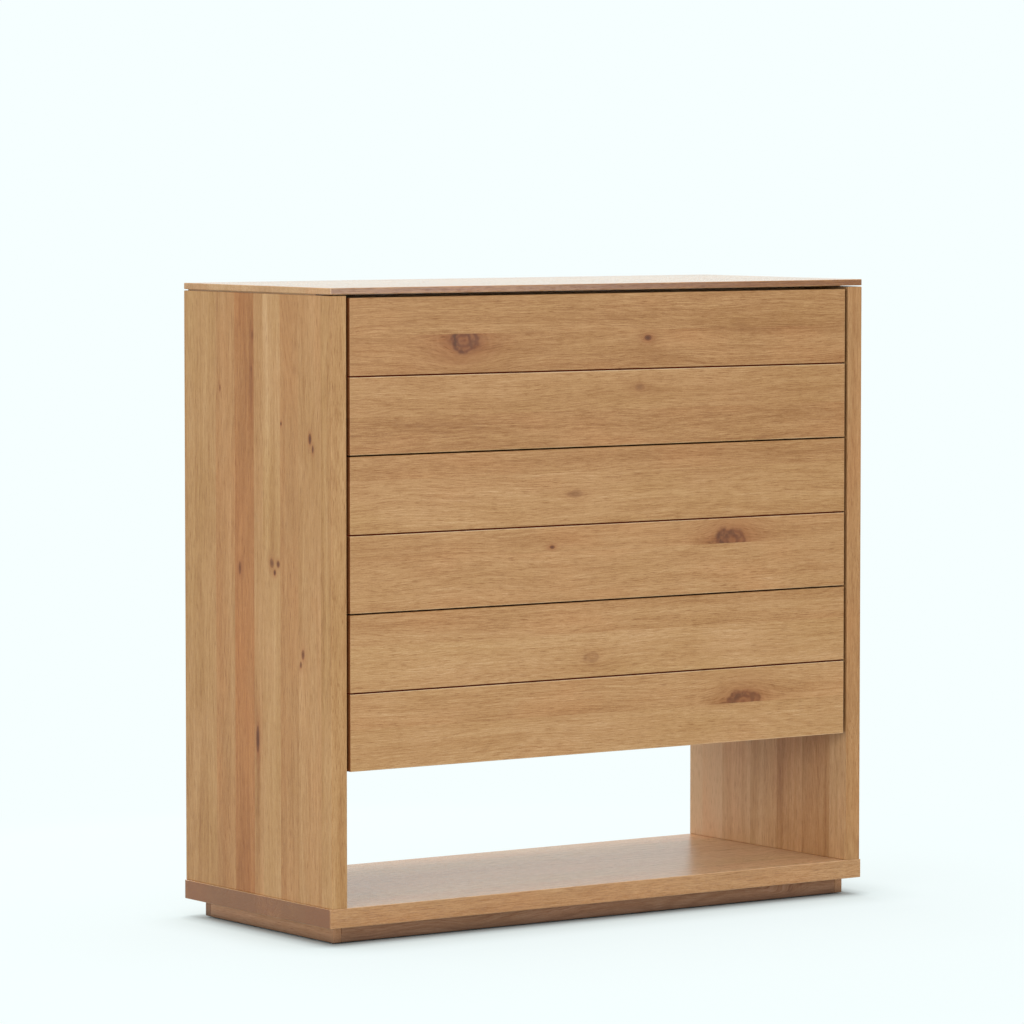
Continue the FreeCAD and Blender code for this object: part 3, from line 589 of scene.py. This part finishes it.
# The same on the top panel and the base panel, but from left to right first, then from front to back
TOP_KNOTS = (
    (-160.0, 70.0, 20.0, 10.0, 0.7),
    (310.0, -90.0, 10.0, 6.0, 0.8),
    (40.0, -150.0, 16.0, 7.0, 0.4),
)
BASE_STREAKS = (
    (-150.0, 30.0, 220.0, 9.0, 0.45),
    (160.0, -60.0, 160.0, 8.0, 0.4),
)

# The plinth's boards: (node, grain, figure, shade, stain); the front and back are darker, partly in their
# colour and partly as painted shade under the base's overhang
PLINTH_BOARDS = (
    ("plinth_front", "x", 2.6, 0.0, DARK_STAIN_AND_SHADE),
    ("plinth_back", "x", 1.4, 0.0, DARK_STAIN_AND_SHADE),
    ("plinth_left", "y", 1.0, -0.2, SOFT_STAIN),
    ("plinth_right", "y", 1.0, -0.2, SOFT_STAIN),
)

# Each drawer front is two strips of joined staves: staves, knots and streaks from the bottom up
# The stave tones differ from stave to stave, and run paler from the upper front down to the lower one:
# painted light for the sheen that grows towards the floor
FRONTS = {
    "lower": dict(
        staves=((268.0, 0.09, -0.04), (331.0, 0.06, 0.0), (388.0, 0.14, -0.06), (459.0, 0.04, 0.0)),
        knots=(
            (276.0, 333.0, 36.0, 20.0, 0.85),
            (-26.0, 421.0, 16.0, 10.0, 0.25),
        ),
        streaks=(
            (330.0, 345.0, 90.0, 8.0, 0.35),
            (232.0, 333.0, 34.0, 8.0, 0.5),
            (-40.0, 340.0, 90.0, 16.0, 0.2),
            (-60.0, 405.0, 120.0, 12.0, 0.2),
        ),
    ),
    "middle": dict(
        staves=((511.0, 0.04, 0.0), (590.0, 0.03, 0.02), (631.0, 0.04, -0.05), (714.0, -0.06, 0.02)),
        knots=(
            (250.0, 595.0, 36.0, 22.0, 0.9),
            (-104.0, 598.0, 6.0, 3.5, 0.9),
            (-59.0, 680.0, 18.0, 7.0, 0.3),
        ),
        streaks=(
            (330.0, 600.0, 80.0, 9.0, 0.35),
            (208.0, 595.0, 36.0, 9.0, 0.55),
            (-104.0, 612.0, 70.0, 12.0, 0.3),
            (-380.0, 592.0, 120.0, 10.0, 0.3),
            (180.0, 705.0, 110.0, 8.0, 0.3),
        ),
    ),
    "upper": dict(
        staves=((754.0, -0.07, 0.0), (811.0, 0.0, -0.04), (874.0, -0.07, 0.0), (936.0, -0.05, -0.02)),
        knots=(
            (-271.0, 926.0, 36.0, 22.0, 1.0),
            (83.0, 923.0, 8.0, 5.0, 0.95),
            (67.0, 845.0, 12.0, 7.0, 0.3),
        ),
        streaks=(
            (-200.0, 912.0, 50.0, 7.0, 0.3),
            (90.0, 905.0, 36.0, 16.0, 0.25),
            (330.0, 932.0, 130.0, 10.0, 0.3),
            (-330.0, 790.0, 120.0, 9.0, 0.25),
        ),
    ),
}


def staves_across(low, high, count, seed):
    """Even staves across a board that is seen only from inside or behind, with a fixed drift of tone."""
    step = (high - low) / count
    return tuple(
        (low + number * step, 0.06 * math.sin(2.1 * number + seed), 0.10 * math.sin(3.7 * number + 2 * seed))
        for number in range(count)
    )


def dress_sides():
    # Each side's inner face is paler, partly a paler veneer and partly painted light for the light in the
    # niche
    left = oak(
        "oak_left_side", "z", "y", 1, LEFT_STAVES, LEFT_KNOTS, LEFT_STREAKS,
        painted_face_light=("x", 1.0, 0.15), bands=0.8, fibres=0.6,
    )
    finish("left_side_panel", left)
    right = oak(
        "oak_right_side", "z", "y", 2, RIGHT_STAVES, RIGHT_KNOTS, RIGHT_STREAKS,
        painted_face_light=("x", -1.0, 0.25), bands=0.8, fibres=0.6,
    )
    finish("right_side_panel", right)


def dress_fronts():
    """Each drawer front, with its groove at the middle of its height and a painted highlight along its lower
    edge.
    """
    for number, level in enumerate(LEVELS):
        board_low, board_high = (corner.z for corner in box_mm(f"{level}_drawer_front"))
        middle_height = (board_low + board_high) / 2
        groove = (middle_height - GROOVE / 2, middle_height + GROOVE / 2)
        # Painted highlights just below the groove and along the lower edge, where the arrises catch the light
        highlights = ((groove[0] - HIGHLIGHT, groove[0]), (board_low, board_low + HIGHLIGHT))
        front_oak = oak(f"oak_{level}_front", "x", "z", 3 + number, groove=groove, highlights=highlights, **FRONTS[level])
        finish(f"{level}_drawer_front", front_oak)


def dress_slabs():
    """The top panel and the base panel, with staves that run from side to side."""
    # The top is paler all over, partly its tone and partly a painted sheen for its grazing shine, and its
    # front edge is painted darker again
    top = oak(
        "oak_top", "x", "y", 7, staves_across(side_low.y, side_high.y, 6, 1.0), TOP_KNOTS,
        shade=-0.2, painted_face_light=("y", -1.0, -0.65), gloss=0.13, sheen=0.5,
    )
    finish("top_panel", top)
    # The painted highlight along the front edge starts just behind the front face, which lies on the box's
    # own limit.
    # The top face, the niche's floor, is paler: painted light for its sheen.
    base_front = box_mm("base_panel")[0].y
    base = oak(
        "oak_base", "x", "y", 8, staves_across(side_low.y, side_high.y, 6, 4.0), (), BASE_STREAKS,
        shade=-0.10, end_shade=0.63, painted_face_light=("z", 1.0, 0.4),
        highlights=((base_front + 0.2, base_front + 3.0 * HIGHLIGHT),), gloss=0.28, sheen=0.5,
    )
    finish("base_panel", base)


def dress_plinth_and_back():
    for number, (name, grain, figure, shade, stain_and_shade) in enumerate(PLINTH_BOARDS):
        finish(name, oak(f"oak_{name}", grain, "z", 9 + number, figure=figure, shade=shade, stain_and_shade=stain_and_shade))
    inner_board = oak("oak_inner_board", "x", "y", 13, staves_across(side_low.y, side_high.y, 5, 3.0))
    for name in ("carcass_floor", "front_top_rail"):
        finish(name, inner_board)
    finish("rear_top_rail", oak("oak_rear_rail", "x", "z", 14))
    back_low, back_high = box_mm("back_panel")
    back_staves = staves_across(back_low.x, back_high.x, 7, 5.0)
    finish("back_panel", oak("oak_back_veneer", "z", "x", 15, back_staves, gloss=0.5))


def dress_insides():
    """Drawer boxes, hardware and fasteners."""
    lining_x = plain_wood("birch_across", (0.02, 0.5, 0.5), *BIRCH)
    lining_y = plain_wood("birch_deep", (0.5, 0.02, 0.5), *BIRCH)
    bottom = plain_wood("birch_sheet", (0.02, 0.3, 0.5), rgb(233, 214, 182), rgb(212, 187, 150))
    beech = plain_wood("beech", (0.4, 0.4, 0.05), rgb(222, 180, 140), rgb(196, 148, 108), pale_pores=0.4)
    rails = metal("zinc_runner", rgb(214, 217, 220), rgb(176, 180, 184), 0.32, spangle=0.35)
    balls = metal("bearing_steel", rgb(228, 229, 230), rgb(196, 198, 200), 0.14)
    zinc = metal("zinc_screws", rgb(212, 214, 210), rgb(170, 172, 170), 0.3, brushed=(0.6, 0.6, 0.6))
    grey_plastic = plastic("latch_plastic", rgb(88, 90, 92), rgb(74, 76, 78))
    white_plastic = plastic("plunger_plastic", rgb(214, 214, 208), rgb(200, 200, 194), 0.4)
    glide = plastic("glide_plastic", rgb(122, 96, 74), rgb(104, 82, 62), 0.45)
    for level in LEVELS:
        for side in ("left", "right"):
            finish(f"{level}_drawer_{side}_side", lining_y)
        finish(f"{level}_drawer_box_front", lining_x)
        finish(f"{level}_drawer_back", lining_x)
        finish(f"{level}_drawer_bottom", bottom)
        for name in ("cabinet_rails", "intermediate_rails", "drawer_rails"):
            finish(f"{level}_{name}", rails)
        finish(f"{level}_outer_ball_cages", balls)
        finish(f"{level}_inner_ball_cages", balls)
        finish(f"{level}_drawer_screws", zinc)
        finish(f"{level}_latch_plungers", white_plastic)
    finish("latch_housings", grey_plastic)
    finish("floor_glides", glide)
    finish("plinth_blocks", beech)
    finish("dowels", beech)
    for name in ("plinth_screws", "top_rail_screws", "carcass_short_screws", "wall_anchor_inserts"):
        finish(name, zinc)


# ---------------------------------------------------------------------------------------------------------
# Stage: floor, world, lights and camera
# ---------------------------------------------------------------------------------------------------------

BACKDROP = rgb(246, 255, 255)
WORLD_LEVEL = 0.8

# The floor's own grey, and a glow that lifts it. Distances in metres: the glow is off at the plinth and full
# at CONTACT_SHADOW_REACH, a painted contact shadow; the shadow fades to SHADOW_FADE by SHADOW_REACH, and the
# floor is all backdrop by FADE_TO.
FLOOR_COLOUR = (0.50, 0.55, 0.55, 1.0)
FLOOR_GLOW = (0.27, 0.31, 0.31, 1.0)
FLOOR_RADIUS = 14.0
CONTACT_SHADOW_REACH = 0.05
SHADOW_REACH = 0.15
SHADOW_FADE = 0.75
FADE_FROM, FADE_TO = 0.75, 1.5

# Soft boxes: (name, place, width, watts), all turned to the middle of the chest
LAMP_TARGET = (0.0, 0.0, 0.5)
LAMPS = (
    ("left_key", (-4.4, -2.7, 1.3), 2.4, 92.0),
    ("front_fill", (1.8, -4.4, 0.5), 2.4, 56.0),
    ("overhead", (0.0, 0.4, 4.2), 2.4, 76.0),
    ("back_light", (0.4, 4.2, 1.0), 1.7, 100.0),
)

# The camera's place in metres, its lens in millimetres, and its turn away from straight ahead in degrees
CAMERA_PLACE = (-4.9839, -7.0327, 1.2109)
LENS_MM = 188.32
TURN_RIGHT = 35.156
LOOK_DOWN = 3.805


def seen_rays(graph):
    """1 for the rays that show the backdrop itself: from the camera, a mirror or glass."""
    path = graph.add("ShaderNodeLightPath").outputs
    seen = graph.math("MAXIMUM", path["Is Camera Ray"], path["Is Glossy Ray"])
    return graph.math("MAXIMUM", seen, path["Is Transmission Ray"])


def add_world():
    """The pale backdrop for what sees it, and soft white light from all round for everything else."""
    world = bpy.data.worlds.new("Studio")
    bpy.context.scene.world = world
    graph = Graph(world)
    light = graph.tree.nodes["Background"]
    light.inputs["Strength"].default_value = WORLD_LEVEL
    light.inputs["Color"].default_value = (1.0, 1.0, 1.0, 1.0)
    backdrop = graph.add("ShaderNodeBackground")
    backdrop.inputs["Color"].default_value = BACKDROP
    mix = graph.add("ShaderNodeMixShader")
    graph.feed(mix.inputs[0], seen_rays(graph))
    graph.feed(mix.inputs[1], light.outputs[0])
    graph.feed(mix.inputs[2], backdrop.outputs[0])
    graph.feed(graph.tree.nodes["World Output"].inputs["Surface"], mix.outputs[0])


def add_floor():
    """A pale floor that keeps the shadow under the chest, with a painted contact shadow at the plinth, and
    fades into the backdrop a little way out.
    """
    bpy.ops.mesh.primitive_circle_add(vertices=96, radius=FLOOR_RADIUS, fill_type="NGON", location=(0, 0, 0))
    floor = bpy.context.object
    floor.name = "studio_floor"
    graph = Graph(bpy.data.materials.new("studio_floor"))
    graph.tree.nodes.remove(graph.shader)
    x, y, _ = graph.parts(graph.add("ShaderNodeTexCoord").outputs["Object"])
    foot_low, foot_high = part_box("plinth_left")[0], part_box("plinth_right")[1]
    beside = graph.math("MAXIMUM", graph.minus(graph.math("ABSOLUTE", x), foot_high.x), 0.0)
    before = graph.math("MAXIMUM", graph.minus(foot_low.y, y), graph.minus(y, foot_high.y))
    before = graph.math("MAXIMUM", before, 0.0)
    from_foot = graph.math("SQRT", graph.plus(graph.times(beside, beside), graph.times(before, before)))
    reach = graph.math("SQRT", graph.plus(graph.times(x, x), graph.times(y, y)))
    near_fade = graph.remap(from_foot, 0.0, SHADOW_REACH, 0.0, SHADOW_FADE, smooth=True)
    far_fade = graph.remap(reach, FADE_FROM, FADE_TO, smooth=True)
    seen = seen_rays(graph)
    grey = graph.add("ShaderNodeBsdfDiffuse")
    grey.inputs["Color"].default_value = FLOOR_COLOUR
    glow = graph.add("ShaderNodeEmission")
    glow.inputs["Color"].default_value = FLOOR_GLOW
    # Painted contact shadow: the glow is off at the plinth and full a little way out
    graph.feed(glow.inputs["Strength"], graph.times(graph.remap(from_foot, 0.0, CONTACT_SHADOW_REACH), seen))
    near = graph.add("ShaderNodeAddShader")
    graph.feed(near.inputs[0], grey.outputs[0])
    graph.feed(near.inputs[1], glow.outputs[0])
    far = graph.add("ShaderNodeEmission")
    far.inputs["Color"].default_value = BACKDROP
    mix = graph.add("ShaderNodeMixShader")
    graph.feed(mix.inputs[0], graph.times(graph.math("MAXIMUM", near_fade, far_fade), seen))
    graph.feed(mix.inputs[1], near.outputs[0])
    graph.feed(mix.inputs[2], far.outputs[0])
    graph.feed(graph.tree.nodes["Material Output"].inputs["Surface"], mix.outputs[0])
    floor.data.materials.append(graph.owner)


def add_lights():
    """Four weak soft boxes, left, front right, above and behind, that shape the world's even light."""
    for name, place, width, watts in LAMPS:
        lamp = bpy.data.lights.new(name, "AREA")
        lamp.shape = "SQUARE"
        lamp.size = width
        lamp.energy = watts
        holder = bpy.data.objects.new(name, lamp)
        holder.location = place
        holder.rotation_euler = (Vector(LAMP_TARGET) - Vector(place)).to_track_quat("-Z", "Y").to_euler()
        bpy.context.scene.collection.objects.link(holder)


def add_camera():
    """A long lens, a little above the top of the chest, that looks slightly down at its front left corner."""
    lens = bpy.data.cameras.new("Camera")
    lens.sensor_width = 36.0
    lens.lens = LENS_MM
    lens.clip_end = 100.0
    camera = bpy.data.objects.new("Camera", lens)
    camera.location = CAMERA_PLACE
    camera.rotation_euler = (math.radians(90.0 - LOOK_DOWN), 0.0, math.radians(-TURN_RIGHT))
    bpy.context.scene.collection.objects.link(camera)
    bpy.context.scene.camera = camera


dress_sides()
dress_fronts()
dress_slabs()
dress_plinth_and_back()
dress_insides()
add_world()
add_floor()
add_lights()
add_camera()
bpy.context.scene.view_settings.view_transform = "Standard"
